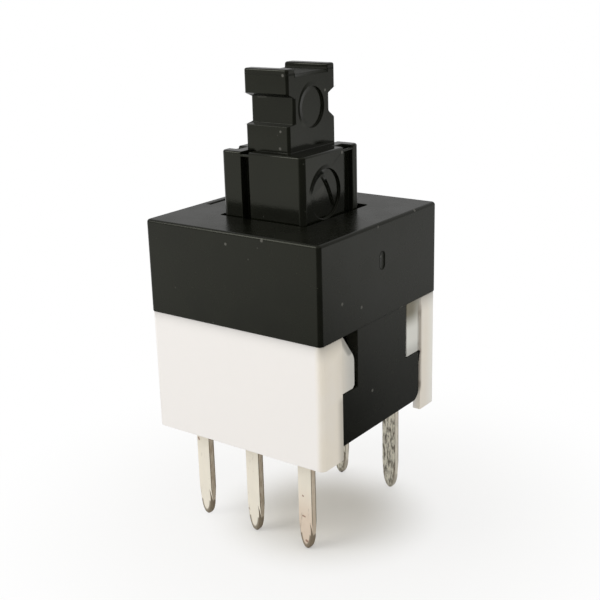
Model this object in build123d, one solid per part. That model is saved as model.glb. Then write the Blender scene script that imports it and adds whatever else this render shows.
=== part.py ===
from build123d import *
import math
import os

# Self locking push switch, two poles, six pins, for a printed circuit board.
# Millimetres. +Z is up, the way the plunger points. Z = 0 is the seat plane, the lowest face
# of the white base, and the pins reach below it. The pins stand in two rows along X.
# The cover's hooked legs are on the +X and -X sides.

# Share of a post's or a tongue's width that its lead-in chamfer takes
lead_share = 1 / 3

# Body
body_side = 8.0
cover_corner_radius = 0.16
base_corner_radius = 0.24
base_height = 4.78
cover_height = 3.64
cover_wall = 0.8
cover_roof = 0.7
cover_edge_radius = 0.12

# Pins and contact blades, stamped from tinned strip
row_inset = 1.0
outer_pin_inset = 1.5
pin_width = 0.6
pin_thickness = 0.3
pin_length = 3.94
tip_length = 0.75
tip_spread = 1.05
tip_bevel = 0.08
blade_top = 5.9
blade_width = 0.9
blade_gap = 0.05
blade_spacing = 0.4
upper_pad_bottom = 4.1
lower_pad_top = 3.7

# Base
standoff = 0.3
standoff_rim_x = 0.35
standoff_rim_y = 0.5
base_floor = 0.7
pocket_wall = 0.5
tongue_height = 0.55
tongue_length = 4.6
slot_gap = 0.02
spigot_radius = 0.55
spigot_height = 0.9

# Hooked legs of the cover and the lugs that hold them
leg_thickness = 0.8
leg_inset = 0.05
leg_gap = 0.05
leg_offset = 0.08
neck_width = 3.46
foot_width = 5.44
foot_rise = 0.51
foot_height = 2.03
foot_corner_radius = 0.4
lug_gap = 0.04
lug_side_gap = 0.2
lug_corner = 0.12
lug_ramp_share = 0.88
lug_bend_share = 0.55
lug_bend_radius = 0.6

# Plunger
travel = 2.0
stop_gap = 0.02
bottom_gap = 0.1
block_width = 3.76
block_depth = 3.68
block_forward = 0.09
block_rise = 2.47
block_corner = 0.22
opening_gap_x = 0.1
opening_gap_front = 0.1
opening_gap_back = 0.44
post_width = 1.98
foot_of_post_depth = 2.96
foot_of_post_height = 0.96
front_ledge_rise = 0.04
back_ledge_rise = 0.24
neck_depth = 2.24
neck_height = 1.16
head_depth = 3.0
head_height = 0.88
hook_drop = 0.15
head_channel_width = 2.06
head_channel_depth = 0.2
channel_end_radius = 0.14
post_edge_radius = 0.11
top_edge_radius = 0.08

# Grooves that run down the plunger's block, one in each side
front_groove_depth = 0.35
front_groove_edge = 0.56
front_groove_width = 0.38
side_groove_depth = 0.2
side_groove_edge = 0.78
side_groove_width = 0.6
groove_web = 0.13
web_height = 0.08
web_drop = 0.1
pit_depth = 0.5

# Round ejector marks on the plunger
post_mark_radius = 0.76
post_mark_height = 0.56
block_mark_radius = 0.94
block_mark_rise = 0.92
block_mark_from_groove = 0.24
mark_depth = 0.09

# Carriage, the hidden lower part of the plunger
carriage_side_gap = 0.3
carriage_corner = 0.2
spring_bore_radius = 1.15
spring_bore_depth = 2.8
rib_gap = 0.06
rib_width = 0.5
rib_inset = 0.55

# Moving contacts
clip_thickness = 0.1
clip_side_inset = 0.34
clip_half_height = 0.95
clip_height = 1.85
clip_pocket_depth = 0.4
clip_clearance = 0.05
clip_slit_width = 0.4
clip_slit_length = 1.1
contact_gap = 0.02

# Return spring
spring_radius = 0.85
spring_wire = 0.18
spring_wire_sides = 6
spring_turns = 6
spring_end_gap = 0.01

# Lock wire and the heart-shaped cam that it runs in
wire_diameter = 0.36
wire_gap = 0.1
wire_bend_radius = 0.26
wire_pivot_rise = 0.3
wire_pivot_gap = 0.03
wire_pivot_length = 0.38
wire_tip_rise = 0.32
wire_swing = 0.9
cam_gap = 0.08
cam_depth = 0.42
cam_step = 0.06
tip_reach = 0.34
lock_drop = 0.55

# Moulding details of the cover
slit_width = 0.2
slit_length = 1.7
slit_depth = 0.5
slit_from_edge = 0.45
gate_radius = 0.17
gate_length = 0.68
gate_depth = 0.03
gate_drop = 1.44

# Places worked out from the sizes above
half = body_side / 2
floor_top = standoff + base_floor
cover_top = base_height + cover_height
roof_under = cover_top - cover_roof
pocket_x = half - leg_inset - leg_thickness - leg_gap
cavity_x = pocket_x - pocket_wall
row_y = half - row_inset
pin_pitch = half - outer_pin_inset
blade_inner_y = row_y - pin_thickness / 2
trough_y = row_y + pin_thickness / 2 + blade_gap
trough_x = pin_pitch + pin_width / 2 + blade_gap
trough_inner_y = blade_inner_y - blade_gap
leg_face = half - leg_inset
neck_front = leg_offset - neck_width / 2
neck_back = leg_offset + neck_width / 2
foot_front = leg_offset - foot_width / 2
foot_back = leg_offset + foot_width / 2
foot_top = foot_rise + foot_height

wire_radius = wire_diameter / 2
lane = wire_diameter + 2 * wire_gap
carriage_x = cavity_x - lane
carriage_y = blade_inner_y - carriage_side_gap
carriage_top = roof_under - stop_gap
carriage_bottom = floor_top + travel + bottom_gap
block_top = cover_top + block_rise
post_foot_top = block_top + foot_of_post_height
neck_top = post_foot_top + neck_height
head_top = neck_top + head_height
bore_roof = carriage_bottom + spring_bore_depth
clip_z = carriage_bottom + clip_height
clip_pocket_y = carriage_y - clip_pocket_depth
clip_half_width = carriage_x - clip_side_inset
rib_y = carriage_y - rib_inset

wire_x = carriage_x + wire_gap + wire_radius
pivot_z = floor_top + wire_pivot_rise
tip_z = base_height + wire_tip_rise
wire_length = tip_z - pivot_z
swing_angle = math.asin(wire_swing / wire_length)
tip_rise = travel - wire_length * (1 - math.cos(swing_angle))
cam_half = wire_radius + cam_gap

upright = (Align.CENTER, Align.CENTER, Align.MIN)


def block(x0, x1, y0, y1, z0, z1):
    """A box between two corners."""
    size = Box(x1 - x0, y1 - y0, z1 - z0, align=(Align.MIN, Align.MIN, Align.MIN))
    return Pos(x0, y0, z0) * size


def turned(shape):
    """The same shape, turned half a turn about the switch's own axis."""
    return Rot(0, 0, 180) * shape


def on_both_sides(shape):
    """The shape together with its copy turned half a turn."""
    return shape + turned(shape)


def outline(points):
    """A closed face from points in the plane's own two directions."""
    return make_face(Polyline(points, close=True))


def seen_from_x(face, x0, x1):
    """A face drawn in Y and Z, made solid between two values of X."""
    plane = Plane(origin=(x0, 0, 0), x_dir=(0, 1, 0), z_dir=(1, 0, 0))
    return extrude(plane * face, amount=x1 - x0, dir=(1, 0, 0))


def seen_from_y(face, y0, y1):
    """A face drawn in X and Z, made solid between two values of Y."""
    plane = Plane(origin=(0, y0, 0), x_dir=(1, 0, 0), z_dir=(0, -1, 0))
    return extrude(plane * face, amount=y1 - y0, dir=(0, 1, 0))


def make_rear_lug():
    """The plain lug that the foot of the +X leg hooks under, behind the leg."""
    bottom = foot_top + lug_gap
    return block(cavity_x, leg_face, neck_back + leg_gap, foot_back + leg_gap, bottom, base_height)


def make_front_lug():
    """The lug in front of the leg. Its upper end slopes away, to guide the leg in."""
    inner = neck_front - lug_side_gap
    outer = foot_front - leg_gap
    bottom = foot_top + lug_gap
    bend = (inner, bottom + (base_height - bottom) * lug_bend_share)
    face = outline([
        (outer, base_height), (outer, bottom), (inner - lug_corner, bottom), (inner, bottom + lug_corner),
        bend, (inner - (inner - outer) * lug_ramp_share, base_height),
    ])
    face = fillet(face.vertices().sort_by_distance(bend)[0], lug_bend_radius)
    return seen_from_x(face, cavity_x, leg_face)


def make_base():
    body = block(-half, half, -half, half, 0, base_height)
    body = fillet(body.edges().filter_by(Axis.Z), base_corner_radius)

    recess_x = half - standoff_rim_x
    recess_y = half - standoff_rim_y
    body -= block(-recess_x, recess_x, -recess_y, recess_y, 0, standoff)

    # Each leg of the cover lies in a pocket open to the side and to the bottom
    pocket = block(pocket_x, half, foot_front - leg_gap, foot_back + leg_gap, 0, base_height)
    body -= on_both_sides(pocket)
    body += on_both_sides(make_rear_lug() + make_front_lug())

    # Inner hollow, with a shallow trough along each side for the contact blades
    hollow = block(-cavity_x, cavity_x, -blade_inner_y, blade_inner_y, floor_top, base_height)
    trough = block(-trough_x, trough_x, -trough_y, trough_y, floor_top, base_height)
    between = block(-trough_x, trough_x, -trough_inner_y, trough_inner_y, floor_top, base_height)
    body -= hollow + (trough - between)

    # Tongues that stand up inside the cover
    tongue_y = tongue_length / 2
    tongue = block(cavity_x, pocket_x, -tongue_y, tongue_y, base_height, base_height + tongue_height)
    tongue = chamfer(tongue.edges().group_by(Axis.Z)[-1].filter_by(Axis.Y), pocket_wall * lead_share)
    body += on_both_sides(tongue)

    # Ribs that guide the carriage
    for x_sign in (-1, 1):
        for y_sign in (-1, 1):
            rib_in = x_sign * (carriage_x + rib_gap)
            rib_out = x_sign * cavity_x
            middle = y_sign * rib_y
            body += block(
                min(rib_in, rib_out), max(rib_in, rib_out),
                middle - rib_width / 2, middle + rib_width / 2, floor_top, base_height,
            )

    # Spigot that centres the return spring
    spigot = Pos(0, 0, floor_top) * Cylinder(spigot_radius, spigot_height, align=upright)
    body += chamfer(spigot.edges().group_by(Axis.Z)[-1], spigot_radius * lead_share)

    # Slots in the floor for the pins
    for row in (-1, 1):
        for column in (-1, 0, 1):
            slot = Box(pin_width + 2 * slot_gap, pin_thickness + 2 * slot_gap, floor_top, align=upright)
            body -= Pos(column * pin_pitch, row * row_y, 0) * slot

    # Bearing hole of the lock wire, in the +X inner wall
    hole = Cylinder(wire_radius + wire_pivot_gap, wire_pivot_length + wire_pivot_gap, align=upright)
    body -= Pos(cavity_x, 0, pivot_z) * Rot(0, 90, 0) * hole
    return body


def make_leg():
    """The T-shaped leg on the +X side, seen from +X."""
    inner = pocket_x + leg_gap
    join = base_height + cover_wall
    neck = block(inner, leg_face, neck_front, neck_back, foot_rise, join)
    foot = block(inner, leg_face, foot_front, foot_back, foot_rise, foot_top)
    rear_corner = foot.edges().filter_by(Axis.X).sort_by(Axis.Z)[:2].sort_by(Axis.Y)[-1]
    return fillet(rear_corner, foot_corner_radius) + neck


def make_cover():
    shell = block(-half, half, -half, half, base_height, cover_top)
    shell = fillet(shell.edges().filter_by(Axis.Z), cover_corner_radius)
    shell = fillet(shell.edges().group_by(Axis.Z)[-1], cover_edge_radius)
    inner = half - cover_wall
    shell -= block(-inner, inner, -inner, inner, base_height, roof_under)
    shell += on_both_sides(make_leg())

    # Opening that the plunger's block slides in
    open_x = block_width / 2 + opening_gap_x
    front = -block_depth / 2 - block_forward - opening_gap_front
    back = block_depth / 2 - block_forward + opening_gap_back
    opening = block(-open_x, open_x, front, back, roof_under, cover_top)
    opening = fillet(opening.edges().filter_by(Axis.Z), opening_gap_x)
    shell -= opening

    # Narrow slit beside the opening
    slit_x = -half + slit_from_edge
    shell -= block(
        slit_x - slit_width / 2, slit_x + slit_width / 2,
        -slit_length / 2, slit_length / 2, cover_top - slit_depth, cover_top,
    )

    # Gate mark in the middle of the +X side
    mark = seen_from_x(SlotOverall(gate_length, 2 * gate_radius, rotation=90), half - gate_depth, half)
    shell -= Pos(0, 0, cover_top - gate_drop) * mark
    return shell


def pin_face(column, width_above, z_top):
    """The pin and the blade above the floor, as one flat outline in X and Z."""
    x = column * pin_pitch
    tip_start = tip_length - pin_length
    shank = Pos(x, (floor_top - pin_length) / 2) * Rectangle(pin_width, floor_top + pin_length)
    corners = Pos(x, tip_start - tip_length / 2) * Rectangle(pin_width, tip_length)
    shank -= corners - Pos(x, tip_start) * Ellipse(tip_spread * pin_width / 2, tip_length)
    blade = Pos(x, (floor_top + z_top) / 2) * Rectangle(width_above, z_top - floor_top)
    return shank + blade


def make_terminal(row, column):
    """A stamped terminal. Its blade is what the moving contact slides on."""
    # Each row is the other one turned half a turn, so the upper pad is at -X in front
    kind = column * -row
    if kind == 0:
        face = pin_face(column, blade_width, blade_top)
    else:
        pad_inner = blade_width / 2 + blade_spacing
        pad_outer = pin_pitch + pin_width / 2
        pad_z = (upper_pad_bottom, blade_top) if kind < 0 else (floor_top, lower_pad_top)
        face = pin_face(column, pin_width, pad_z[1])
        pad_x = column * (pad_inner + pad_outer) / 2
        pad = Rectangle(pad_outer - pad_inner, pad_z[1] - pad_z[0])
        face += Pos(pad_x, sum(pad_z) / 2) * pad
    y = row * row_y
    strip = seen_from_y(face, y - pin_thickness / 2, y + pin_thickness / 2)
    tip_edges = [e for e in strip.edges().filter_by(GeomType.ELLIPSE) if e.bounding_box().max.Z < 0]
    return chamfer(tip_edges, tip_bevel)


def cam_channel(start, end, depth):
    """A straight stretch of the cam groove, cut inwards from the carriage's +X side."""
    run = Vector(end[0] - start[0], end[1] - start[1])
    middle = ((start[0] + end[0]) / 2, (start[1] + end[1]) / 2)
    angle = math.degrees(math.atan2(run.Y, run.X))
    slot = SlotCenterToCenter(run.length, 2 * cam_half, rotation=angle)
    return seen_from_x(Pos(*middle) * slot, carriage_x - depth, carriage_x)


def make_cam():
    """The heart-shaped groove: up one side, back into the cleft, out and down the other side."""
    low = (0, tip_z - cam_gap)
    first_top = (-wire_swing, tip_z + tip_rise + cam_gap)
    cleft = (0, tip_z + tip_rise - lock_drop)
    second_top = (wire_swing, tip_z + tip_rise + cam_gap)
    groove = cam_channel(low, first_top, cam_depth)
    groove += cam_channel(first_top, cleft, cam_depth + cam_step)
    groove += cam_channel(cleft, second_top, cam_depth + cam_step)
    groove += cam_channel(second_top, low, cam_depth)
    return groove


def make_post():
    """The head that a cap snaps on, with its neck, as one side profile carried along X."""
    low = foot_of_post_depth / 2
    neck = neck_depth / 2
    head = head_depth / 2
    side = post_width / 2
    hook = neck_top - hook_drop
    face = outline([
        (low, block_top), (low, post_foot_top), (neck, post_foot_top + back_ledge_rise),
        (neck, hook), (head, neck_top), (head, head_top),
        (-head, head_top), (-head, neck_top), (-neck, hook),
        (-neck, post_foot_top + front_ledge_rise), (-low, post_foot_top), (-low, block_top),
    ])
    post = seen_from_x(face, -side, side)
    post = fillet(post.edges().filter_by(Axis.Z), post_edge_radius)

    # The channel across the head, whose floor is rounded off at both ends
    channel_floor = head_top - head_channel_depth
    low_z = channel_floor - channel_end_radius
    flat = side - channel_end_radius
    right_end = JernArc(start=(flat, channel_floor), tangent=(1, 0), radius=channel_end_radius, arc_size=-90)
    left_end = JernArc(start=(-side, low_z), tangent=(0, 1), radius=channel_end_radius, arc_size=-90)
    rim = [
        left_end, Line(left_end @ 1, (flat, channel_floor)), right_end,
        Line((side, low_z), (side, head_top)), Line((side, head_top), (-side, head_top)),
        Line((-side, head_top), (-side, low_z)),
    ]
    post -= seen_from_y(make_face(Wire(rim)), -head_channel_width / 2, head_channel_width / 2)
    return fillet(post.edges().group_by(Axis.Z)[-1], top_edge_radius)


def make_groove(edge, width, depth, face):
    """A groove down the block's +X side. A thin web crosses its top end, with a pit behind it."""
    web_bottom = block_top - web_drop - web_height
    run = block(face - depth, face, edge, edge + width, carriage_top, web_bottom)
    lip = block(face - depth, face, edge, edge + width, web_bottom + web_height, block_top)
    pit = block(face - pit_depth, face - groove_web, edge, edge + width, web_bottom, block_top)
    return run + lip + pit


def make_plunger():
    carriage = block(-carriage_x, carriage_x, -carriage_y, carriage_y, carriage_bottom, carriage_top)
    carriage = fillet(carriage.edges().filter_by(Axis.Z), carriage_corner)

    width = block_width / 2
    depth = block_depth / 2
    stem = block(-width, width, -depth, depth, carriage_top, block_top)
    stem = fillet(stem.edges().filter_by(Axis.Z), block_corner)
    stem = fillet(stem.edges().group_by(Axis.Z)[-1], top_edge_radius)
    stem -= on_both_sides(make_groove(side_groove_edge, side_groove_width, side_groove_depth, width))
    far_edge = -front_groove_edge - front_groove_width
    front_groove = make_groove(far_edge, front_groove_width, front_groove_depth, depth)
    stem -= on_both_sides(Rot(0, 0, -90) * front_groove)

    # The block sits a little towards the front of the carriage
    plunger = carriage + Pos(0, -block_forward, 0) * stem + make_post()

    # Round ejector marks on the +X faces
    post_mark = seen_from_x(Circle(post_mark_radius), post_width / 2 - mark_depth, post_width / 2)
    plunger -= Pos(0, 0, post_foot_top + post_mark_height) * post_mark
    block_mark = seen_from_x(Circle(block_mark_radius), width - mark_depth, width)
    block_mark_y = side_groove_edge - block_forward - block_mark_from_groove - block_mark_radius
    plunger -= Pos(0, block_mark_y, cover_top + block_mark_rise) * block_mark

    # Bore for the return spring
    bore = Cylinder(spring_bore_radius, spring_bore_depth, align=upright)
    plunger -= Pos(0, 0, carriage_bottom) * bore

    # Pockets for the moving contacts
    tall = clip_half_height + clip_clearance
    wide = clip_half_width + clip_clearance
    pocket = block(-wide, wide, clip_pocket_y, carriage_y, clip_z - tall, clip_z + tall)
    plunger -= on_both_sides(pocket)

    plunger -= make_cam()
    return plunger


def make_contact_clip():
    """A bowed leaf of thin bronze strip for the +Y side, with a slit between its two fingers."""
    reach = blade_inner_y - contact_gap
    root = clip_pocket_y + clip_clearance + clip_thickness
    bottom = clip_z - clip_half_height
    top = clip_z + clip_half_height
    outer = ThreePointArc((root, bottom), (reach, clip_z), (root, top))
    inner = ThreePointArc(
        (root - clip_thickness, top), (reach - clip_thickness, clip_z), (root - clip_thickness, bottom),
    )
    rim = [outer, Line(outer @ 1, inner @ 0), inner, Line(inner @ 1, outer @ 0)]
    leaf = seen_from_x(make_face(Wire(rim)), -clip_half_width, clip_half_width)
    slit = Pos(0, clip_z) * SlotOverall(clip_slit_length, clip_slit_width, rotation=90)
    return leaf - seen_from_y(slit, 0, half)


def make_spring():
    """Plain open coils between the floor and the roof of the plunger's bore."""
    radius = spring_wire / 2
    low = floor_top + radius + spring_end_gap
    height = bore_roof - radius - spring_end_gap - low
    coil = Helix(height / spring_turns, height, spring_radius)
    section = Plane(coil @ 0, z_dir=coil % 0) * RegularPolygon(radius, spring_wire_sides)
    return Pos(0, 0, low) * sweep(section, path=coil, is_frenet=True)


def make_lock_wire():
    """Round wire: one end turns in the base, the other runs in the cam groove."""
    pivot_end = (cavity_x + wire_pivot_length, 0, pivot_z)
    tip_end = (carriage_x - tip_reach, 0, tip_z)
    bends = [(wire_x, 0, pivot_z), (wire_x, 0, tip_z)]
    path = FilletPolyline(pivot_end, *bends, tip_end, radius=wire_bend_radius)
    section = Plane(path @ 0, z_dir=path % 0) * Circle(wire_radius)
    return sweep(section, path=path)


os.makedirs("parts", exist_ok=True)
parts = {
    "base": make_base(),
    "cover": make_cover(),
    "plunger": make_plunger(),
    "contact_clip_back": make_contact_clip(),
    "contact_clip_front": turned(make_contact_clip()),
    "return_spring": make_spring(),
    "lock_wire": make_lock_wire(),
}
for row, row_name in ((-1, "front"), (1, "back")):
    for column in (-1, 0, 1):
        parts[f"terminal_{row_name}_{column + 2}"] = make_terminal(row, column)

for name, shape in parts.items():
    export_step(shape, f"parts/{name}.step")
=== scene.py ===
import bmesh
import bpy
import math
from mathutils import Matrix, Vector


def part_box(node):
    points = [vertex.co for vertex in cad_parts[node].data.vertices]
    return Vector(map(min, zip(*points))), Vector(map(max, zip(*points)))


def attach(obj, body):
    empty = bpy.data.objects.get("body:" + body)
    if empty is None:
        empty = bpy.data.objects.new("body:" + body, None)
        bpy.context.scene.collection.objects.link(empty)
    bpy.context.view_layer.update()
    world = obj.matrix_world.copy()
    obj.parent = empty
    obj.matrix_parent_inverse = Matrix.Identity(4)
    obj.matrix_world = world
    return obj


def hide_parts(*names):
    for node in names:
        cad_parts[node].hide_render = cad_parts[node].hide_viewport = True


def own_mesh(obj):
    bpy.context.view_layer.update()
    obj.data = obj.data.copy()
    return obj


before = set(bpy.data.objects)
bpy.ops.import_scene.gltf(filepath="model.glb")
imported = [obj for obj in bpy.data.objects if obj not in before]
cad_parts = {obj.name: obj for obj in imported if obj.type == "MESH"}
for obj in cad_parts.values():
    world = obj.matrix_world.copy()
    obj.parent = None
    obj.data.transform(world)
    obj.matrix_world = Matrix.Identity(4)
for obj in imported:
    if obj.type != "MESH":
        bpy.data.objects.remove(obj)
bpy.context.view_layer.update()

# Stage
# A plain white floor under the pins, which fades into a white surround. Soft light comes from the
# left, in front and above, and the camera stands where the photograph was taken from.
mm = 0.001
floor_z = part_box("terminal_front_2")[0].z
floor_white = (0.93, 0.925, 0.915, 1)
floor_painted_shade = (0.76, 0.745, 0.7, 1)
shade_centre = Vector((1.5 * mm, -0.5 * mm, floor_z))
front = (0.89, -0.455, 0)
front_band = (0.05, 0.65)
rear_side = (-0.174, 0.985, 0)
rear_band = (0.655, 0.735)
floor_radius = 2.0
white_near = (1.2 * mm, 5 * mm, 0, 0.75)
white_far = (2 * mm, 16 * mm, 0, 0.25)
mirror_near = (8 * mm, 45 * mm, 0.26, 1.0)
mirror_far = (80 * mm, 140 * mm, 1, 0.75)
mirror_ahead = (0, 1, 1, 0.2)
mirror_behind = (0, 1, 1, 0.6)
world_light = 0.78
world_mirror = 0.47
world_mirror_front = 0.15
key_place = (-0.08, -0.10, 0.10)
key_aim = (0, 0, 0.005)
key_size = 0.08
key_power = 0.075
camera_place = Vector((24.33, -32.60, 17.72)) * mm
camera_heading = math.radians(36.52)
camera_pitch = math.radians(17.64)
camera_roll = math.radians(-1.56)
camera_focal_pixels = 1083
frame_pixels = 600


def add(tree, kind, inputs=None, **settings):
    """A shader node of that kind. Its inputs get a value or a link, by name or number."""
    made = tree.nodes.new(kind)
    for name, value in settings.items():
        setattr(made, name, value)
    for name, value in (inputs or {}).items():
        if isinstance(value, bpy.types.NodeSocket):
            tree.links.new(value, made.inputs[name])
        else:
            made.inputs[name].default_value = value
    return made


def maths(tree, operation, *values, clamp=False):
    """One Math node, as its output socket."""
    inputs = dict(enumerate(values))
    return add(tree, "ShaderNodeMath", inputs, operation=operation, use_clamp=clamp).outputs[0]


def times(tree, first, *others):
    """Several values multiplied, as one socket."""
    for other in others:
        first = maths(tree, "MULTIPLY", first, other)
    return first


def highest(tree, first, *others):
    """The highest of several values, as one socket."""
    for other in others:
        first = maths(tree, "MAXIMUM", first, other)
    return first


def ramp(tree, value, low, high, start=0.0, end=1.0):
    """The value turned smoothly from low..high into start..end, and held there outside it."""
    inputs = {"Value": value, "From Min": low, "From Max": high, "To Min": start, "To Max": end}
    return add(tree, "ShaderNodeMapRange", inputs, interpolation_type="SMOOTHSTEP").outputs[0]


def blended(tree, factor, first, second):
    """Two values mixed. The factor and the values are sockets or numbers."""
    return add(tree, "ShaderNodeMix", {0: factor, 2: first, 3: second}, data_type="FLOAT").outputs[0]


def vectors(tree, operation, first, second=(0, 0, 0), result="Vector"):
    """One Vector Math node, as its output socket."""
    return add(tree, "ShaderNodeVectorMath", {0: first, 1: second}, operation=operation).outputs[result]


def towards(tree, direction, aim, low, high):
    """One where a direction points level to the aim, fading to nought away from it."""
    flat = vectors(tree, "NORMALIZE", vectors(tree, "MULTIPLY", direction, (1, 1, 0)))
    return ramp(tree, vectors(tree, "DOT_PRODUCT", flat, aim, "Value"), low, high)


def new_material(name):
    """An empty node material, its tree and its output node."""
    material = bpy.data.materials.new(name)
    material.use_nodes = True
    material.node_tree.nodes.clear()
    return material, material.node_tree, material.node_tree.nodes.new("ShaderNodeOutputMaterial")


def make_floor():
    shape = bmesh.new()
    bmesh.ops.create_circle(shape, cap_ends=True, radius=floor_radius, segments=64)
    bmesh.ops.translate(shape, verts=shape.verts, vec=(0, 0, floor_z))
    mesh = bpy.data.meshes.new("floor")
    shape.to_mesh(mesh)
    shape.free()
    floor = bpy.data.objects.new("floor", mesh)
    bpy.context.scene.collection.objects.link(floor)

    material, tree, output = new_material("floor_white")
    place = add(tree, "ShaderNodeTexCoord").outputs["Object"]
    rays = add(tree, "ShaderNodeLightPath").outputs

    # The switch's shadow shows near the pins, deepened there by a darker painted floor colour, and the
    # floor is white further out
    apart = vectors(tree, "DISTANCE", place, shade_centre, "Value")
    share = maths(tree, "ADD", ramp(tree, apart, *white_near), ramp(tree, apart, *white_far))
    shaded = add(tree, "ShaderNodeBsdfDiffuse", {"Color": floor_painted_shade})
    white = add(tree, "ShaderNodeEmission", {"Strength": 1.0})
    seen = add(tree, "ShaderNodeMixShader", {0: share, 1: shaded.outputs[0], 2: white.outputs[0]})

    # Reflections see the floor as a painted glow, dimmed close to the switch as a painted shadow, and
    # dimmer on the camera's side and far behind
    out = vectors(tree, "LENGTH", place, result="Value")
    ahead = ramp(tree, towards(tree, place, front, *front_band), *mirror_ahead)
    behind = ramp(tree, towards(tree, place, rear_side, *rear_band), *mirror_behind)
    bright = times(tree, ramp(tree, out, *mirror_near), ramp(tree, out, *mirror_far), ahead, behind)
    mirrored = add(tree, "ShaderNodeEmission", {"Strength": bright})

    matt = add(tree, "ShaderNodeBsdfDiffuse", {"Color": floor_white})
    direct = highest(tree, rays["Is Camera Ray"], rays["Is Transmission Ray"])
    plain = add(tree, "ShaderNodeMixShader", {0: direct, 1: matt.outputs[0], 2: seen.outputs[0]})
    whole = add(tree, "ShaderNodeMixShader", {
        0: rays["Is Glossy Ray"], 1: plain.outputs[0], 2: mirrored.outputs[0],
    })
    tree.links.new(whole.outputs[0], output.inputs["Surface"])
    mesh.materials.append(material)


def make_surround():
    """The world lights the switch evenly, shows white behind it and a little darker in reflections."""
    world = bpy.data.worlds.new("surround")
    bpy.context.scene.world = world
    world.use_nodes = True
    tree = world.node_tree
    tree.nodes.clear()
    direction = add(tree, "ShaderNodeTexCoord").outputs["Generated"]
    height = add(tree, "ShaderNodeSeparateXYZ", {0: direction}).outputs[2]
    ahead = towards(tree, direction, front, *front_band)
    low = times(tree, ahead, ramp(tree, height, 0.2, 0.7, 1, 0))
    mirrored = ramp(tree, low, 0, 1, world_mirror, world_mirror_front)
    rays = add(tree, "ShaderNodeLightPath").outputs
    direct = highest(tree, rays["Is Camera Ray"], rays["Is Transmission Ray"])
    strength = blended(tree, direct, world_light, 1.0)
    strength = blended(tree, rays["Is Glossy Ray"], strength, mirrored)
    glow = add(tree, "ShaderNodeBackground", {"Color": (1, 1, 1, 1), "Strength": strength})
    output = tree.nodes.new("ShaderNodeOutputWorld")
    tree.links.new(glow.outputs[0], output.inputs["Surface"])


def make_key_lamp():
    """A square soft lamp, turned towards the middle of the switch."""
    data = bpy.data.lights.new("key", "AREA")
    data.shape = "SQUARE"
    data.size = key_size
    data.energy = key_power
    lamp = bpy.data.objects.new("key", data)
    lamp.location = key_place
    lamp.rotation_euler = (Vector(key_aim) - Vector(key_place)).to_track_quat("-Z", "Y").to_euler()
    bpy.context.scene.collection.objects.link(lamp)


def make_camera():
    data = bpy.data.cameras.new("camera")
    data.sensor_width = 36
    data.lens = camera_focal_pixels / frame_pixels * data.sensor_width
    data.clip_start = 1 * mm
    camera = bpy.data.objects.new("camera", data)
    turn = Matrix.Rotation(camera_heading, 4, "Z") @ Matrix.Rotation(math.pi / 2 - camera_pitch, 4, "X")
    camera.matrix_world = Matrix.Translation(camera_place) @ turn @ Matrix.Rotation(camera_roll, 4, "Z")
    bpy.context.scene.collection.objects.link(camera)
    bpy.context.scene.camera = camera


bpy.context.scene.view_settings.view_transform = "Standard"
make_floor()
make_surround()
make_key_lamp()
make_camera()

# Cover
# The black box on top is one moulding of nylon, open below, with a hooked leg down each side.
# It is pushed over the base until the two legs snap under the lugs.
cover_black = (0.0045, 0.0048, 0.003, 1)
nylon_sheen = (0.98, 1.0, 0.82, 1)
dust_white = (0.3, 0.29, 0.26, 1)
nylon_specular = 0.3
dust_spacing = 0.45 * mm
dust_amount = 0.1
cover_grain = 0.07 * mm
cover_roughness = 0.24
cover_mark_strength = 0.3
mould_depth = 0.004 * mm
edge_round = 0.03 * mm
weld = 0.0001 * mm
flat_angle = math.radians(0.5)
sharp_angle = math.radians(32)
cover_marks = [
    ((4.0, -2.66, 6.02), 0.07), ((4.0, -1.42, 5.56), 0.07), ((3.95, 2.36, 8.37), 0.07),
    ((3.97, -0.28, 8.3), 0.06), ((-0.1, -4.0, 7.96), 0.06), ((1.55, -3.98, 8.3), 0.07),
    ((3.95, -0.65, 2.05), 0.07), ((4.0, 1.41, 4.77), 0.07), ((4.0, -0.06, 7.14), 0.05),
]


def new_group(name, inputs, outputs):
    """An empty node group with named sockets, and its input and output nodes."""
    group = bpy.data.node_groups.new(name, "ShaderNodeTree")
    for label, kind in inputs.items():
        group.interface.new_socket(label, in_out="INPUT", socket_type=kind)
    for label, kind in outputs.items():
        group.interface.new_socket(label, in_out="OUTPUT", socket_type=kind)
    return group, group.nodes.new("NodeGroupInput").outputs, group.nodes.new("NodeGroupOutput").inputs


def use(tree, group, inputs):
    """The group placed in a tree with its own values, as its output sockets."""
    made = tree.nodes.new("ShaderNodeGroup")
    made.node_tree = group
    for name, value in inputs.items():
        if isinstance(value, bpy.types.NodeSocket):
            tree.links.new(value, made.inputs[name])
        else:
            made.inputs[name].default_value = value
    return made.outputs


def noise(tree, place, size, detail=2.0, roughness=0.5, offset=(0, 0, 0)):
    """Noise with grains of about that size in metres, as its factor socket."""
    moved = vectors(tree, "ADD", place, offset)
    inputs = {"Vector": moved, "Scale": 1 / size, "Detail": detail, "Roughness": roughness}
    return add(tree, "ShaderNodeTexNoise", inputs).outputs[0]


def mixed(tree, factor, first, second):
    """Two colours mixed. The factor and the colours are sockets or values."""
    return add(tree, "ShaderNodeMix", {0: factor, 6: first, 7: second}, data_type="RGBA").outputs[2]


def make_spot_group():
    """One inside a round spot at a place, and nought outside it."""
    sockets = {"Vector": "NodeSocketVector", "Place": "NodeSocketVector", "Radius": "NodeSocketFloat"}
    group, given, out = new_group("spot", sockets, {"Mask": "NodeSocketFloat"})
    apart = vectors(group, "DISTANCE", given["Vector"], given["Place"], "Value")
    share = maths(group, "DIVIDE", apart, given["Radius"])
    group.links.new(ramp(group, share, 1.15, 0.55), out["Mask"])
    return group


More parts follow.
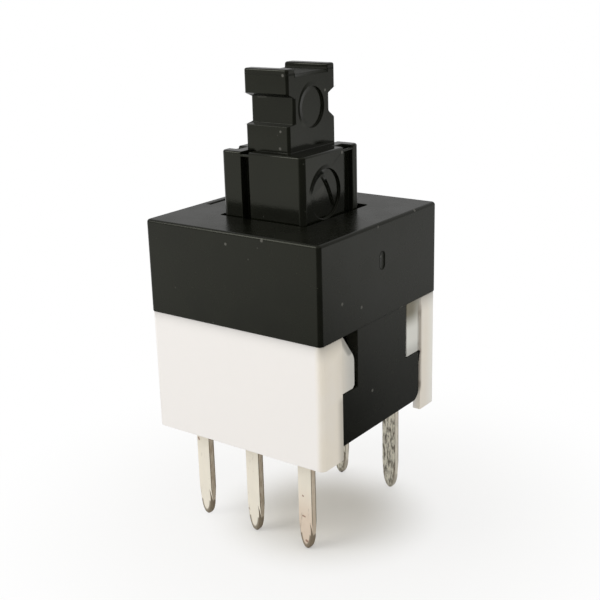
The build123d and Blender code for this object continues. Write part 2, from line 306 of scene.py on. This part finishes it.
def make_slab_group():
    """One where a value lies between two limits, softened over a distance, and nought elsewhere."""
    sockets = {name: "NodeSocketFloat" for name in ("Value", "Low", "High", "Soft")}
    group, given, out = new_group("slab", sockets, {"Mask": "NodeSocketFloat"})
    above = maths(group, "SUBTRACT", given["Value"], given["Low"])
    below = maths(group, "SUBTRACT", given["High"], given["Value"])
    nearer = maths(group, "MINIMUM", above, below)
    share = maths(group, "DIVIDE", nearer, given["Soft"])
    group.links.new(ramp(group, share, -0.5, 0.5), out["Mask"])
    return group


def make_stroke_group():
    """One along a straight stroke between two places, and nought beside it."""
    sockets = {name: "NodeSocketVector" for name in ("Vector", "Start", "End")}
    sockets["Radius"] = "NodeSocketFloat"
    group, given, out = new_group("stroke", sockets, {"Mask": "NodeSocketFloat"})
    along = vectors(group, "SUBTRACT", given["End"], given["Start"])
    offset = vectors(group, "SUBTRACT", given["Vector"], given["Start"])
    reach = vectors(group, "DOT_PRODUCT", offset, along, "Value")
    whole = vectors(group, "DOT_PRODUCT", along, along, "Value")
    part = maths(group, "DIVIDE", reach, whole, clamp=True)
    nearest = add(group, "ShaderNodeVectorMath", {0: along, "Scale": part}, operation="SCALE").outputs[0]
    apart = vectors(group, "DISTANCE", offset, nearest, "Value")
    share = maths(group, "DIVIDE", apart, given["Radius"])
    group.links.new(ramp(group, share, 1.2, 0.4), out["Mask"])
    return group


def make_ring_group():
    """The height of a round ridge about a centre, highest on its circle and with even flanks."""
    sockets = {
        "Vector": "NodeSocketVector", "Centre": "NodeSocketVector",
        "Radius": "NodeSocketFloat", "Width": "NodeSocketFloat",
    }
    group, given, out = new_group("ring", sockets, {"Height": "NodeSocketFloat"})
    apart = vectors(group, "DISTANCE", given["Vector"], given["Centre"], "Value")
    off_circle = maths(group, "ABSOLUTE", maths(group, "SUBTRACT", apart, given["Radius"]))
    share = maths(group, "DIVIDE", off_circle, given["Width"])
    group.links.new(maths(group, "SUBTRACT", 1.0, share, clamp=True), out["Height"])
    return group


def make_grain_group():
    """The fine texture of a spark-eroded mould, as a height, with slow clouds over it."""
    sockets = {"Vector": "NodeSocketVector", "Size": "NodeSocketFloat"}
    results = {"Height": "NodeSocketFloat", "Cloud": "NodeSocketFloat"}
    group, given, out = new_group("grain", sockets, results)
    fine_scale = maths(group, "DIVIDE", 1.0, given["Size"])
    fine = add(group, "ShaderNodeTexNoise", {"Vector": given["Vector"], "Scale": fine_scale, "Detail": 3.0})
    slow_scale = maths(group, "DIVIDE", fine_scale, 18.0)
    slow = add(group, "ShaderNodeTexNoise", {"Vector": given["Vector"], "Scale": slow_scale, "Detail": 2.0})
    group.links.new(fine.outputs[0], out["Height"])
    group.links.new(ramp(group, slow.outputs[0], 0.3, 0.7), out["Cloud"])
    return group


def make_dust_group():
    """Sparse small specks of dust, as a mask."""
    sockets = {"Vector": "NodeSocketVector", "Spacing": "NodeSocketFloat", "Amount": "NodeSocketFloat"}
    group, given, out = new_group("dust", sockets, {"Mask": "NodeSocketFloat"})
    scale = maths(group, "DIVIDE", 1.0, given["Spacing"])
    cells = add(group, "ShaderNodeTexVoronoi", {"Vector": given["Vector"], "Scale": scale})
    near = ramp(group, cells.outputs["Distance"], 0.09, 0.03)
    pick = add(group, "ShaderNodeSeparateColor", {0: cells.outputs["Color"]}).outputs[0]
    chosen = maths(group, "LESS_THAN", pick, given["Amount"])
    group.links.new(times(group, near, chosen), out["Mask"])
    return group


spot_group = make_spot_group()
slab_group = make_slab_group()
stroke_group = make_stroke_group()
ring_group = make_ring_group()
grain_group = make_grain_group()
dust_group = make_dust_group()


def spots(tree, place, marks):
    """The highest of several spots. Each mark is a place in millimetres and a radius."""
    masks = []
    for centre, radius in marks:
        inputs = {"Vector": place, "Place": Vector(centre) * mm, "Radius": radius * mm}
        masks.append(use(tree, spot_group, inputs)["Mask"])
    return highest(tree, *masks)


def strokes(tree, place, lines):
    """The highest of several strokes. Each line has two ends in millimetres and a radius."""
    masks = []
    for start, end, radius in lines:
        ends = {"Start": Vector(start) * mm, "End": Vector(end) * mm}
        inputs = {"Vector": place, "Radius": radius * mm} | ends
        masks.append(use(tree, stroke_group, inputs)["Mask"])
    return highest(tree, *masks)


def ring(tree, place, centre, radius, width):
    """The height of a round ridge, with its centre and sizes in millimetres."""
    sizes = {"Radius": radius * mm, "Width": width * mm}
    return use(tree, ring_group, {"Vector": place, "Centre": Vector(centre) * mm} | sizes)["Height"]


def slab(tree, value, low, high, soft):
    """A soft-edged band of a coordinate, with its limits in millimetres."""
    inputs = {"Value": value, "Low": low * mm, "High": high * mm, "Soft": soft * mm}
    return use(tree, slab_group, inputs)["Mask"]


def rounded_copy(node, rounding):
    """The CAD node's mesh, merged and with its sharp edges rounded, as a new mesh."""
    low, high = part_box(node)
    shape = bmesh.new()
    shape.from_mesh(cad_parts[node].data)
    bmesh.ops.remove_doubles(shape, verts=shape.verts, dist=weld)
    bmesh.ops.dissolve_limit(shape, angle_limit=flat_angle, verts=shape.verts, edges=shape.edges)
    sharp = [edge for edge in shape.edges if edge.calc_face_angle(0) > sharp_angle]
    bmesh.ops.bevel(
        shape, geom=sharp, offset=rounding, offset_type="OFFSET", segments=2, profile=0.5,
        affect="EDGES", material=-1, clamp_overlap=False,
    )
    # Where a sharp edge runs out into a curve the rounding overshoots, and is brought back to the box
    for vert in shape.verts:
        for axis in range(3):
            vert.co[axis] = min(max(vert.co[axis], low[axis]), high[axis])
    for face in shape.faces:
        face.smooth = True
    mesh = bpy.data.meshes.new(node + "_rounded")
    shape.to_mesh(mesh)
    shape.free()
    if "custom_normal" in mesh.attributes:
        mesh.attributes.remove(mesh.attributes["custom_normal"])
    return mesh


def place_piece(name, mesh, material, body):
    """A finished piece that rides on a body."""
    mesh.materials.clear()
    mesh.materials.append(material)
    piece = bpy.data.objects.new(name, mesh)
    bpy.context.scene.collection.objects.link(piece)
    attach(piece, body)
    return piece


def keep_flats_flat(piece):
    """Face-weighted normals, so that the flats stay flat beside rounded edges."""
    modifier = piece.modifiers.new("weighted", "WEIGHTED_NORMAL")
    modifier.mode = "FACE_AREA"
    modifier.weight = 100


def make_nylon_group():
    """Black moulded nylon: slow clouds of wear, faint dust and the marks that are given."""
    sockets = {
        "Vector": "NodeSocketVector", "Size": "NodeSocketFloat", "Marks": "NodeSocketFloat",
        "Roughness": "NodeSocketFloat", "Colour": "NodeSocketColor",
    }
    results = {"Colour": "NodeSocketColor", "Roughness": "NodeSocketFloat", "Height": "NodeSocketFloat"}
    group, given, out = new_group("nylon", sockets, results)
    grain = use(group, grain_group, {"Vector": given["Vector"], "Size": given["Size"]})
    dust = use(group, dust_group, {
        "Vector": given["Vector"], "Spacing": dust_spacing, "Amount": dust_amount,
    })["Mask"]
    light = highest(group, times(group, dust, 0.12), given["Marks"])
    cloudy = maths(group, "ADD", 0.8, times(group, grain["Cloud"], 0.5))
    worn = vectors(group, "MULTIPLY", given["Colour"], cloudy)
    group.links.new(mixed(group, light, worn, dust_white), out["Colour"])
    changed = maths(group, "ADD", given["Roughness"], times(group, grain["Cloud"], 0.05))
    group.links.new(blended(group, light, changed, 0.8), out["Roughness"])
    group.links.new(grain["Height"], out["Height"])
    return group


nylon_group = make_nylon_group()


def make_cover_material():
    material, tree, output = new_material("cover_nylon")
    place = add(tree, "ShaderNodeTexCoord").outputs["Object"]
    marks = times(tree, spots(tree, place, cover_marks), cover_mark_strength)
    look = use(tree, nylon_group, {
        "Vector": place, "Size": cover_grain, "Marks": marks, "Roughness": cover_roughness,
        "Colour": cover_black,
    })
    bump = add(tree, "ShaderNodeBump", {
        "Strength": 0.35, "Distance": mould_depth, "Height": look["Height"],
    })
    body = add(tree, "ShaderNodeBsdfPrincipled", {
        "Base Color": look["Colour"], "Roughness": look["Roughness"], "Normal": bump.outputs[0],
        "Specular IOR Level": nylon_specular, "Specular Tint": nylon_sheen,
    })
    tree.links.new(body.outputs[0], output.inputs["Surface"])
    return material


cover_mesh = rounded_copy("cover", edge_round)
cover_piece = place_piece("cover_shell", cover_mesh, make_cover_material(), "housing")
keep_flats_flat(cover_piece)
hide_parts("cover")

# Base
# The milky white lower box is moulded in one piece too, with pockets for the cover's legs.
# Its +X side is painted a darker cream, partly the nylon's own warm tint and partly painted shade of that
# side.
base_white = (0.88, 0.85, 0.816, 1)
base_cream = (0.86, 0.795, 0.68, 1)
lug_shade_white = (0.76, 0.75, 0.69, 1)
painted_shade_grey = (0.02, 0.022, 0.02, 1)
post_light = (0.95, 0.94, 0.88, 1)
rear_lug_shade_and_stain = (0.22, 0.2, 0.145, 1)
crack_brown = (0.2, 0.16, 0.12, 1)
base_grain = 0.09 * mm
base_top = 4.78 * mm
joint_height = 0.8 * mm
joint_strength = 0.33
side_joint_strength = 0.45
leg_side_band = (3.8, 5.0, 0.3)
front_lug_edge = -1.85 * mm
front_lug_band = (-3.6, -1.0, 0.2)
front_lug_greying = (-3.3 * mm, front_lug_edge, 0, 0.28)
front_post_band = (-3.6, -2.5, 0.2)
front_post_greying = (-3.15 * mm, -2.75 * mm)
front_post_greying_height = (2.7 * mm, 2.3 * mm, 0, 0.35)
lug_shadow = ((3.95, -2.65, 4.85), (3.95, -2.15, 4.15), 0.3)
lug_shadow_strength = 0.6
rear_lug_edge = 2.86 * mm
rear_lug_start = (1.6 * mm, 1.8 * mm)
rear_lug_top_across = (2.2 * mm, rear_lug_edge, 1, 0.6)
rear_lug_top_height = (3.6 * mm, 4.4 * mm)
rear_lug_foot = (3.2 * mm, 2.6 * mm, 0, 0.3)
rear_post_corner = (3.15 * mm, 3.9 * mm, 0, 0.8)
crack_across = (2.7, 2.92, 0.12)
crack_along = (0.9, 4.4, 0.5)


def make_base_material():
    material, tree, output = new_material("base_nylon")
    place = add(tree, "ShaderNodeTexCoord").outputs["Object"]
    along_x, along_y, along_z = add(tree, "ShaderNodeSeparateXYZ", {0: place}).outputs
    grain = use(tree, grain_group, {"Vector": place, "Size": base_grain})
    side = slab(tree, along_x, *leg_side_band)
    # The +X side is cream, partly its own tint and partly painted shade
    cream = times(tree, side, ramp(tree, grain["Cloud"], 0, 1, 0.75, 1.0))
    colour = mixed(tree, cream, base_white, base_cream)

    # The lugs are painted greyer and cooler than the posts, a painted shade for their recess, and the rear
    # post is lightest at its corner
    rear_edge = ramp(tree, along_y, rear_lug_edge, rear_lug_edge - 0.08 * mm)
    lugs = times(tree, ramp(tree, along_y, -2.8 * mm, front_lug_edge), rear_edge)
    colour = mixed(tree, times(tree, side, lugs), colour, lug_shade_white)
    corner = times(tree, side, ramp(tree, along_y, *rear_post_corner))
    colour = mixed(tree, corner, colour, post_light)

    # Painted shade greys the front lug and post towards the leg, most of all just below the cover, with a
    # painted shadow along the lug's ramp
    greying = ramp(tree, along_y, *front_lug_greying)
    leg_side = times(tree, greying, slab(tree, along_y, *front_lug_band))
    post_edge = times(
        tree, ramp(tree, along_y, *front_post_greying), slab(tree, along_y, *front_post_band),
        ramp(tree, along_z, *front_post_greying_height),
    )
    shadow = times(tree, strokes(tree, place, [lug_shadow]), lug_shadow_strength)
    shade = highest(tree, leg_side, post_edge, shadow)

    # Painted shade greys the base just below the cover, more so on the sides with the legs
    rise = add(tree, "ShaderNodeMapRange", {
        "Value": along_z, "From Min": base_top - joint_height, "From Max": base_top,
    }).outputs[0]
    joint = times(tree, maths(tree, "POWER", rise, 4.0), joint_strength)
    side_joint = times(tree, maths(tree, "POWER", rise, 2.0), side_joint_strength)
    shade = times(tree, side, highest(tree, shade, side_joint))
    colour = mixed(tree, highest(tree, joint, shade), colour, painted_shade_grey)

    # The rear lug is dark olive-brown at its top, partly painted shade under the cover and partly a brown
    # stain, and has painted shade at its foot; a fine crack runs beside it
    rear_lug = times(tree, ramp(tree, along_y, *rear_lug_start), rear_edge, side)
    rear_lug_top_dark = times(
        tree, ramp(tree, along_y, *rear_lug_top_across), rear_lug, ramp(tree, along_z, *rear_lug_top_height),
    )
    colour = mixed(tree, rear_lug_top_dark, colour, rear_lug_shade_and_stain)
    foot_shade = times(tree, rear_lug, ramp(tree, along_z, *rear_lug_foot))
    colour = mixed(tree, foot_shade, colour, painted_shade_grey)
    broken = ramp(tree, noise(tree, place, 0.8 * mm, 3.0), 0.4, 0.6, 0.5, 0.8)
    crack = times(
        tree, slab(tree, along_y, *crack_across), side, slab(tree, along_z, *crack_along), broken,
    )
    colour = mixed(tree, crack, colour, crack_brown)
    rough = ramp(tree, grain["Cloud"], 0, 1, 0.42, 0.55)
    bump = add(tree, "ShaderNodeBump", {
        "Strength": 0.3, "Distance": mould_depth, "Height": grain["Height"],
    })
    body = add(tree, "ShaderNodeBsdfPrincipled", {
        "Base Color": colour, "Roughness": rough, "Normal": bump.outputs[0], "Specular IOR Level": 0.4,
    })
    tree.links.new(body.outputs[0], output.inputs["Surface"])
    return material


base_mesh = rounded_copy("base", edge_round)
base_piece = place_piece("base_block", base_mesh, make_base_material(), "housing")
keep_flats_flat(base_piece)
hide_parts("base")

# Plunger
# The black stem is the moving part, moulded with a head that a cap snaps over, guide grooves down
# its block and the round marks that the mould's ejector pins leave.
plunger_black = (0.0045, 0.0049, 0.003, 1)
plunger_grain = 0.08 * mm
plunger_roughness = 0.12
plunger_round = 0.02 * mm
channel_band = (13.65, 13.73, 0.02)
channel_roughness = 0.55
plunger_marks = [
    ((0.8, -1.5, 13.68), 0.06), ((0.61, -1.48, 11.67), 0.05), ((0.57, -1.48, 11.05), 0.06),
    ((1.88, 0.59, 10.71), 0.07), ((0.99, 0.84, 12.93), 0.06),
]
# Pale streaks: the wide one on the block's +X face is partly rub wear and partly a painted sheen
plunger_pale_streaks = [
    ((-0.64, -1.12, 12.83), (-0.28, -1.12, 12.84), 0.05),
    ((1.79, -0.95, 9.33), (1.79, -0.6, 9.5), 0.18),
]
plunger_mark_strength = 0.35
plunger_pale_streak_strength = 0.09
rim_width = 0.18
block_rim = ((1.88, -0.45, 9.3), 0.95)
block_rim_across = (-0.2 * mm, -0.8 * mm, 0, 0.7)
block_rim_height = (9.4 * mm, 9.9 * mm)
post_rim = ((0.99, 0.1, 12.4), 0.8)
post_rim_across = (0.3 * mm, -0.5 * mm, 0, 0.5)
post_rim_band = (12.0, 13.4, 0.6)
scar = ((1.79, -2.86, 8.05), 3.0)
scar_width = 0.11
scar_band = (8.9, 9.95, 0.4)
scar_depth = (1.4 * mm, 1.6 * mm, 0, 0.6)
torn_height = 0.08 * mm


def make_plunger_material():
    material, tree, output = new_material("plunger_nylon")
    place = add(tree, "ShaderNodeTexCoord").outputs["Object"]
    along_x, along_y, along_z = add(tree, "ShaderNodeSeparateXYZ", {0: place}).outputs
    marks = times(tree, spots(tree, place, plunger_marks), plunger_mark_strength)
    # The wide pale streak on the block is partly a painted sheen
    pale_streaks = times(tree, strokes(tree, place, plunger_pale_streaks), plunger_pale_streak_strength)
    light = highest(tree, marks, pale_streaks)
    look = use(tree, nylon_group, {
        "Vector": place, "Size": plunger_grain, "Marks": light, "Roughness": plunger_roughness,
        "Colour": plunger_black,
    })

    # The channel in the head is duller than the rest
    channel = slab(tree, along_z, *channel_band)
    rough = blended(tree, channel, look["Roughness"], channel_roughness)

    # Low rims stand at the left of the round marks, and the mould's gate left a scar inside one
    block_side = times(
        tree, ramp(tree, along_y, *block_rim_across), ramp(tree, along_z, *block_rim_height),
        ring(tree, place, *block_rim, rim_width),
    )
    post_side = times(
        tree, ramp(tree, along_y, *post_rim_across), slab(tree, along_z, *post_rim_band),
        ring(tree, place, *post_rim, rim_width),
    )
    torn_part = times(
        tree, slab(tree, along_z, *scar_band), ramp(tree, along_x, *scar_depth),
        ring(tree, place, *scar, scar_width),
    )
    rims = highest(tree, block_side, post_side, torn_part)
    torn = add(tree, "ShaderNodeBump", {"Strength": 1.0, "Distance": torn_height, "Height": rims})
    bump = add(tree, "ShaderNodeBump", {
        "Strength": 0.35, "Distance": mould_depth, "Height": look["Height"], "Normal": torn.outputs[0],
    })
    body = add(tree, "ShaderNodeBsdfPrincipled", {
        "Base Color": look["Colour"], "Roughness": rough, "Normal": bump.outputs[0],
        "Specular IOR Level": nylon_specular, "Specular Tint": nylon_sheen,
    })
    tree.links.new(body.outputs[0], output.inputs["Surface"])
    return material


plunger_mesh = rounded_copy("plunger", plunger_round)
plunger_piece = place_piece("plunger_stem", plunger_mesh, make_plunger_material(), "plunger")
keep_flats_flat(plunger_piece)
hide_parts("plunger")

# Terminals
# Six flat pins are stamped from brass strip and tin plated, with coined tips. The plate is dull and
# speckled, and the sheared sides are darker. They are pressed into slots in the base's floor.
tin_bright = (0.96, 0.9, 0.77, 1)
tin_warm = (0.85, 0.71, 0.57, 1)
tin_rear = (0.82, 0.79, 0.67, 1)
tin_side_rear = (0.86, 0.8, 0.68, 1)
tin_side = (0.44, 0.36, 0.26, 1)
tin_side_warm = (0.66, 0.55, 0.42, 1)
tin_streak = (0.18, 0.16, 0.12, 1)
tin_speck_and_shade = (0.16, 0.12, 0.07, 1)
flux_brown = (0.3, 0.14, 0.08, 1)
pin_pitch = 2.5 * mm
row_offset = 3.0 * mm
edge_line_depth = (0.08 * mm, 0.13 * mm)
tip_start = -3.19 * mm
tip_reach = (0.215 * mm, 1, 0.66 * mm)
tip_rim = (0.72, 0.9)
tip_rim_height = (-3.25 * mm, -3.35 * mm)
tin_metallic = 0.2
flux_specks = [
    ((2.38, -3.15, -2.55), (2.48, -3.15, -2.57), 0.04),
    ((2.52, -3.15, -3.58), (2.56, -3.15, -3.6), 0.06),
    ((-0.3, -3.15, -3.04), (-0.26, -3.15, -3.06), 0.06),
    ((2.4, -3.15, -1.7), (2.42, -3.15, -1.72), 0.04),
    ((-2.72, -3.15, -0.6), (-2.7, -3.15, -0.66), 0.05),
]


def make_tin_material():
    material, tree, output = new_material("pin_tin_plate")
    place = add(tree, "ShaderNodeTexCoord").outputs["Object"]
    along_x, along_y, along_z = add(tree, "ShaderNodeSeparateXYZ", {0: place}).outputs
    facing = add(tree, "ShaderNodeNewGeometry").outputs["True Normal"]
    face_x, face_y = add(tree, "ShaderNodeSeparateXYZ", {0: facing}).outputs[:2]
    stretched = vectors(tree, "MULTIPLY", place, (1, 1, 0.25))
    streaks = ramp(tree, noise(tree, stretched, 0.1 * mm, 4.0, 0.6), 0.4, 0.62)
    last_pin = ramp(tree, along_x, 0.5 * mm, 2.2 * mm)
    warm = times(tree, last_pin, ramp(tree, along_z, -0.9 * mm, -2.9 * mm))
    colour = mixed(tree, warm, tin_bright, tin_warm)

    # The rear row's front faces are streaked dark, and a few specks of flux stay on the front row
    rear = ramp(tree, along_y, -1 * mm, 1 * mm)
    colour = mixed(tree, rear, colour, tin_rear)
    worn = ramp(tree, noise(tree, stretched, 0.09 * mm, 4.0, 0.6, (0.1, 0.3, 0.2)), 0.42, 0.62)
    streaked = times(tree, rear, ramp(tree, face_y, 0.3, -0.1), worn)
    colour = mixed(tree, streaked, colour, tin_streak)
    fine = ramp(tree, noise(tree, stretched, 0.16 * mm, 5.0, 0.7, (0.3, 0.1, 0.2)), 0.6, 0.72)
    colour = mixed(tree, times(tree, fine, 0.3), colour, tin_speck_and_shade)
    flux = times(tree, strokes(tree, place, flux_specks), 0.8)
    colour = mixed(tree, flux, colour, flux_brown)

    # The sheared sides take their own colour, on the front row darker, partly the duller sheared metal and
    # partly painted shade, with a painted shade line along each edge
    sheared = ramp(tree, maths(tree, "ABSOLUTE", face_x), 0.4, 0.8)
    dark = times(tree, sheared, ramp(tree, streaks, 0, 1, 0.75, 1.0))
    side_colour = mixed(tree, last_pin, tin_side, tin_side_warm)
    side_colour = mixed(tree, rear, side_colour, tin_side_rear)
    colour = mixed(tree, dark, colour, side_colour)
    from_row = maths(tree, "SUBTRACT", maths(tree, "ABSOLUTE", along_y), row_offset)
    depth = maths(tree, "ABSOLUTE", from_row)
    edge_line = times(tree, sheared, ramp(tree, depth, *edge_line_depth))

    # The coined tip has a painted shade rim, outside a flat oval about the middle of each pin, and its
    # chamfers are painted dark as shade
    column = maths(tree, "SNAP", maths(tree, "ADD", along_x, pin_pitch / 2), pin_pitch)
    across = maths(tree, "SUBTRACT", along_x, column)
    down = maths(tree, "MINIMUM", maths(tree, "SUBTRACT", along_z, tip_start), 0.0)
    from_centre = add(tree, "ShaderNodeCombineXYZ", {0: across, 2: down}).outputs[0]
    oval = vectors(tree, "LENGTH", vectors(tree, "DIVIDE", from_centre, tip_reach), result="Value")
    rim = times(tree, ramp(tree, oval, *tip_rim), ramp(tree, along_z, *tip_rim_height))
    coined = maths(tree, "COMPARE", maths(tree, "ABSOLUTE", face_y), 0.65, 0.3)
    rim = times(tree, highest(tree, rim, coined), ramp(tree, rear, 0, 1, 1, 0.4))
    line = highest(tree, edge_line, rim)
    colour = mixed(tree, times(tree, line, 0.8), colour, tin_speck_and_shade)
    rough = ramp(tree, streaks, 0, 1, 0.42, 0.6)
    bump = add(tree, "ShaderNodeBump", {"Strength": 0.4, "Distance": 0.006 * mm, "Height": streaks})
    body = add(tree, "ShaderNodeBsdfPrincipled", {
        "Base Color": colour, "Roughness": rough, "Normal": bump.outputs[0], "Metallic": tin_metallic,
    })
    tree.links.new(body.outputs[0], output.inputs["Surface"])
    return material


def give_material(node, material):
    """A better material on a CAD node whose shape is right."""
    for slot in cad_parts[node].material_slots:
        slot.material = material


tin_material = make_tin_material()
for row in ("front", "back"):
    for number in (1, 2, 3):
        give_material(f"terminal_{row}_{number}", tin_material)

# Contact clips
# Each pole's moving contact is a bowed leaf of phosphor bronze with a silver wash. It clips into a
# pocket in the plunger, and its two fingers slide on the terminals' blades.
bronze = (0.72, 0.52, 0.3, 1)
silver_wash = (0.8, 0.78, 0.72, 1)


def make_clip_material():
    material, tree, output = new_material("clip_bronze")
    place = add(tree, "ShaderNodeTexCoord").outputs["Object"]
    rubbed = ramp(tree, noise(tree, place, 0.5 * mm, 3.0), 0.4, 0.62)
    stretched = vectors(tree, "MULTIPLY", place, (0.2, 1, 1))
    rolled = noise(tree, stretched, 0.06 * mm, 3.0)
    bump = add(tree, "ShaderNodeBump", {"Strength": 0.3, "Distance": 0.003 * mm, "Height": rolled})
    body = add(tree, "ShaderNodeBsdfPrincipled", {
        "Base Color": mixed(tree, rubbed, silver_wash, bronze),
        "Roughness": ramp(tree, rolled, 0.2, 0.8, 0.25, 0.4), "Normal": bump.outputs[0], "Metallic": 1.0,
    })
    tree.links.new(body.outputs[0], output.inputs["Surface"])
    return material


clip_material = make_clip_material()
for side in ("back", "front"):
    give_material("contact_clip_" + side, clip_material)

# Return spring and lock wire
# Both are bright spring steel. The coil stands on the base inside the plunger's bore and pushes the
# plunger up. The wire turns in the base and runs round the plunger's heart-shaped groove.
spring_radius = 0.85 * mm
spring_wire_radius = 0.09 * mm
spring_turns = 6
spring_steps_per_turn = 32
steel_light = (0.62, 0.62, 0.6, 1)
steel_dark = (0.46, 0.45, 0.43, 1)


def make_steel_material():
    material, tree, output = new_material("spring_steel")
    place = add(tree, "ShaderNodeTexCoord").outputs["Object"]
    drawn = noise(tree, place, 0.05 * mm, 3.0)
    bump = add(tree, "ShaderNodeBump", {"Strength": 0.25, "Distance": 0.002 * mm, "Height": drawn})
    colour = mixed(tree, ramp(tree, drawn, 0.35, 0.7), steel_light, steel_dark)
    body = add(tree, "ShaderNodeBsdfPrincipled", {
        "Base Color": colour, "Roughness": ramp(tree, drawn, 0.3, 0.7, 0.22, 0.36),
        "Normal": bump.outputs[0], "Metallic": 1.0,
    })
    tree.links.new(body.outputs[0], output.inputs["Surface"])
    return material


def make_spring_mesh():
    low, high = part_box("return_spring")
    rise = high.z - low.z - 2 * spring_wire_radius
    steps = spring_turns * spring_steps_per_turn
    shape = bmesh.new()
    bmesh.ops.create_circle(shape, cap_ends=True, radius=spring_wire_radius, segments=12)
    stand = Matrix.Rotation(math.pi / 2, 4, "X")
    bmesh.ops.transform(shape, verts=shape.verts, matrix=stand)
    start = (spring_radius, 0, low.z + spring_wire_radius)
    bmesh.ops.translate(shape, verts=shape.verts, vec=start)
    bmesh.ops.spin(
        shape, geom=shape.verts[:] + shape.edges[:] + shape.faces[:], cent=(0, 0, 0), axis=(0, 0, 1),
        dvec=(0, 0, rise / steps), angle=math.tau * spring_turns, steps=steps, use_merge=False,
    )
    bmesh.ops.recalc_face_normals(shape, faces=shape.faces)
    for face in shape.faces:
        face.smooth = len(face.verts) == 4
    mesh = bpy.data.meshes.new("return_spring_coil")
    shape.to_mesh(mesh)
    shape.free()
    return mesh


steel_material = make_steel_material()
spring_piece = place_piece("return_spring_coil", make_spring_mesh(), steel_material, "housing")
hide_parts("return_spring")
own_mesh(spring_piece)
give_material("lock_wire", steel_material)
